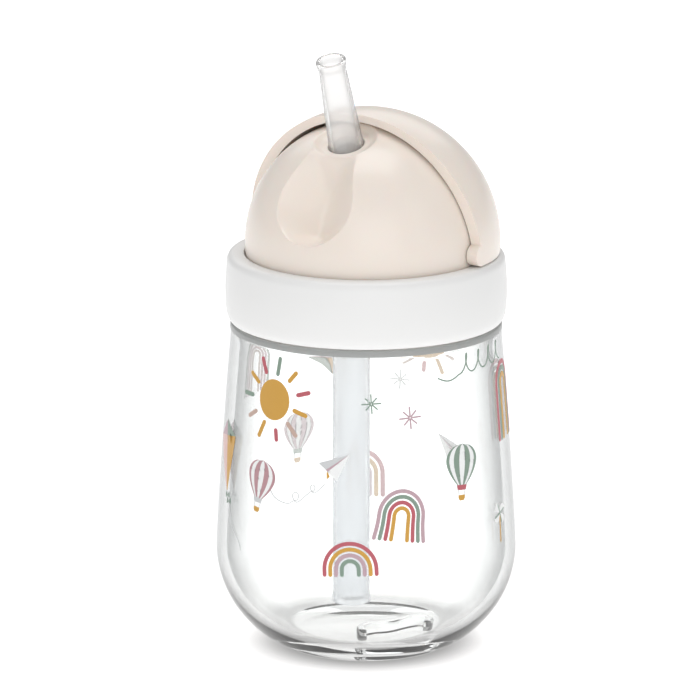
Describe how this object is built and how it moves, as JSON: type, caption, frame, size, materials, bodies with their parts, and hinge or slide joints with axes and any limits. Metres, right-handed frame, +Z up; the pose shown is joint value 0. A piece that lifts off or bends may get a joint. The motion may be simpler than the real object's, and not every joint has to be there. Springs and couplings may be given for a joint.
{
  "type": "sippy cup",
  "caption": "Clear round-bellied drinking cup with a screw ring, a domed lid, a fold-down silicone mouthpiece, an inner straw and a sliding visor.",
  "frame": {"origin": "centre of the base, on the surface that the cup stands on", "axes": "+Z up along the cup's axis; -Y towards the side that is drunk from; +X to the drinker's left as they face the cup"},
  "size_m": [0.0802, 0.0802, 0.1633],
  "materials": {
    "clear_plastic": "clear moulded copolyester, polished",
    "ring_plastic": "satin white polypropylene",
    "lid_plastic": "soft gloss blush plastic",
    "silicone": "translucent silicone",
    "straw_plastic": "milky translucent plastic tube"
  },
  "bodies": {
    "cup_body": {"cup": "clear_plastic"},
    "lid_core": {"lid_gasket": "silicone", "lid_base": "lid_plastic", "vent_valve": "silicone", "dome_shell": "lid_plastic", "spout_base": "silicone", "straw_tube": "straw_plastic"},
    "ring_body": {"screw_ring": "ring_plastic"},
    "visor_body": {"visor": "lid_plastic"},
    "mouthpiece": {"spout_tip": "silicone"}
  },
  "joints": [
    {"name": "lid_rise", "type": "slide", "parent": "cup_body", "child": "lid_core", "axis": [0, 0, 1], "range_m": [0, 0.004]},
    {"name": "ring_turn", "type": "hinge", "parent": "lid_core", "child": "ring_body", "pos_m": [0, 0, 0.0978], "axis": [0, 0, 1], "range_deg": [0, 360]},
    {"name": "visor_hinge", "type": "hinge", "parent": "lid_core", "child": "visor_body", "pos_m": [0, 0, 0.1099], "axis": [1, 0, 0], "range_deg": [0, 84]},
    {"name": "spout_fold", "type": "hinge", "parent": "lid_core", "child": "mouthpiece", "pos_m": [0, -0.0123, 0.1395], "axis": [1, 0, 0], "range_deg": [0, 131], "deforming": ["spout_tip"]}
  ],
  "couplings": [
    {"joint": "lid_rise", "follows": "ring_turn", "m_per_rad": 0.0006366},
    {"joint": "spout_fold", "follows": "visor_hinge", "ratio": 1.555}
  ]
}
